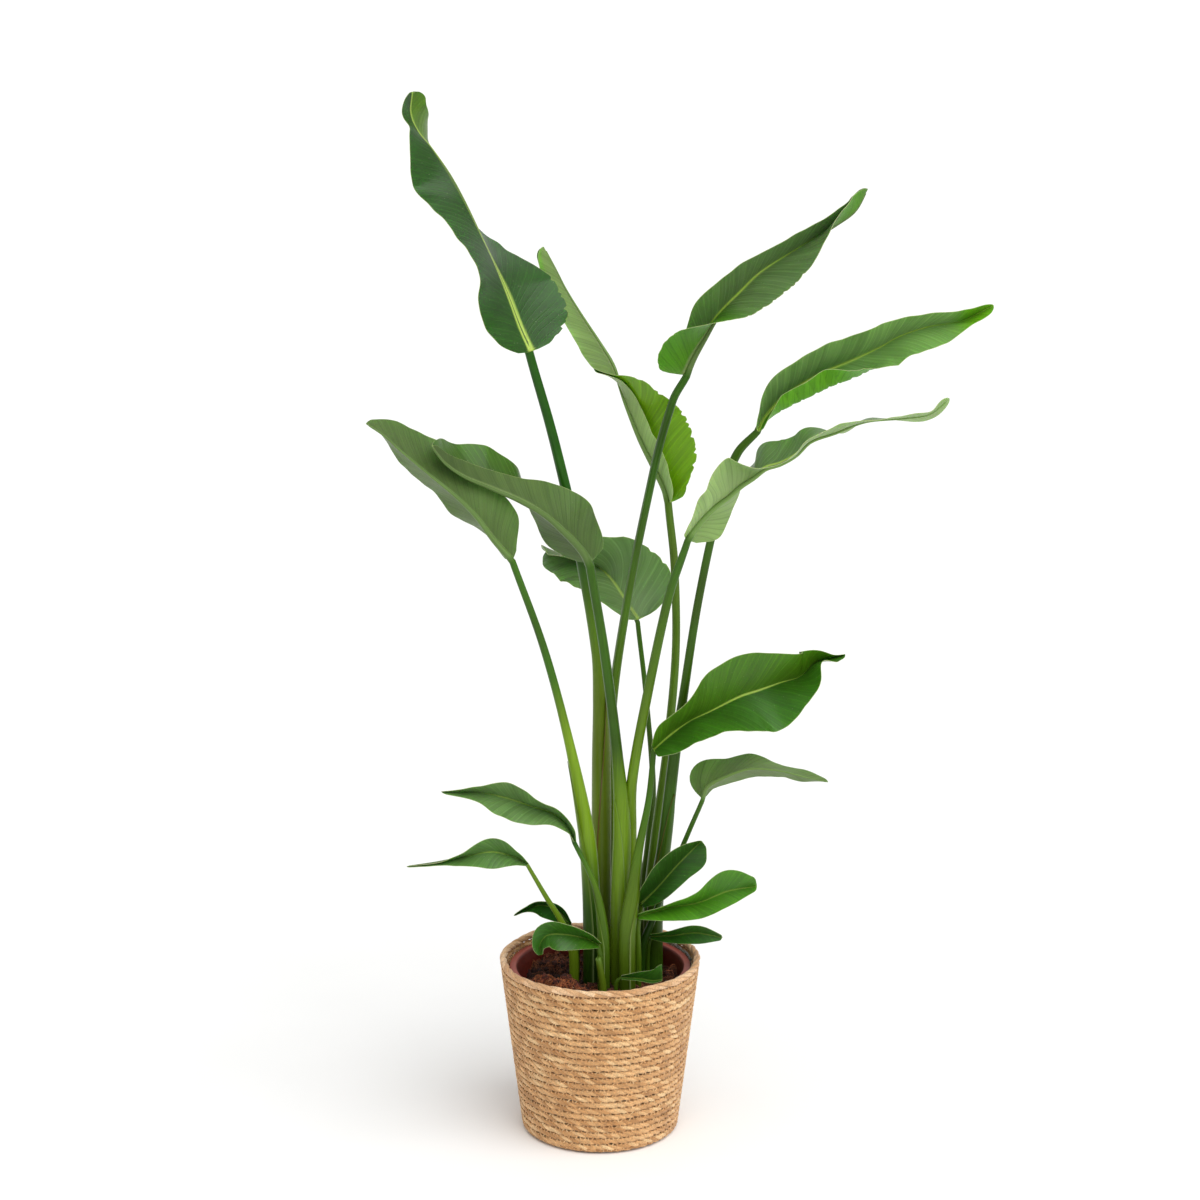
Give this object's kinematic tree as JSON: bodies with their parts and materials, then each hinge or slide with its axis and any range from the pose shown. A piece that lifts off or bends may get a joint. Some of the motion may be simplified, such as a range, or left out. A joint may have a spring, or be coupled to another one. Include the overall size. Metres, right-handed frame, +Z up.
{
  "type": "potted bird of paradise",
  "caption": "Bird of paradise houseplant with long stalked paddle leaves, rooted in a plastic nursery pot that stands in a round basket of sewn seagrass braid.",
  "frame": {"origin": "centre of the basket's foot, on the surface that it stands on", "axes": "+Z up; the plant's front, as the picture shows it, looks along -Y; +X to the right of that view"},
  "size_m": [0.6141, 0.315, 1.0776],
  "materials": {
    "seagrass_braid": "matte",
    "seagrass_rope": "matte",
    "clear_film": "satin",
    "brown_plastic": "satin",
    "coir_soil": "matte",
    "leaf_blade": "satin",
    "leaf_stalk": "satin"
  },
  "bodies": {
    "root": {"base_front_blade": "leaf_blade", "base_front_stalk": "leaf_stalk", "base_left_back_blade": "leaf_blade", "base_left_back_stalk": "leaf_stalk", "base_left_front_blade": "leaf_blade", "base_left_front_stalk": "leaf_stalk", "base_right_lower_blade": "leaf_blade", "base_right_lower_stalk": "leaf_stalk", "base_right_middle_blade": "leaf_blade", "base_right_middle_stalk": "leaf_stalk", "base_right_upper_blade": "leaf_blade", "base_right_upper_stalk": "leaf_stalk", "basket_body": "seagrass_braid", "basket_rim_rope": "seagrass_rope", "centre_back_blade": "leaf_blade", "centre_back_stalk": "leaf_stalk", "cut_stalk_stub": "leaf_stalk", "film_liner": "clear_film", "left_front_blade": "leaf_blade", "left_front_stalk": "leaf_stalk", "left_low_blade": "leaf_blade", "left_low_stalk": "leaf_stalk", "left_lowest_blade": "leaf_blade", "left_lowest_stalk": "leaf_stalk", "left_outer_blade": "leaf_blade", "left_outer_stalk": "leaf_stalk", "middle_back_blade": "leaf_blade", "middle_back_stalk": "leaf_stalk", "nursery_pot": "brown_plastic", "potting_soil": "coir_soil", "right_broad_blade": "leaf_blade", "right_broad_stalk": "leaf_stalk", "right_low_blade": "leaf_blade", "right_low_stalk": "leaf_stalk", "right_second_blade": "leaf_blade", "right_second_stalk": "leaf_stalk", "right_third_blade": "leaf_blade", "right_third_stalk": "leaf_stalk", "right_top_blade": "leaf_blade", "right_top_stalk": "leaf_stalk", "tall_left_blade": "leaf_blade", "tall_left_stalk": "leaf_stalk"}
  },
  "joints": []
}
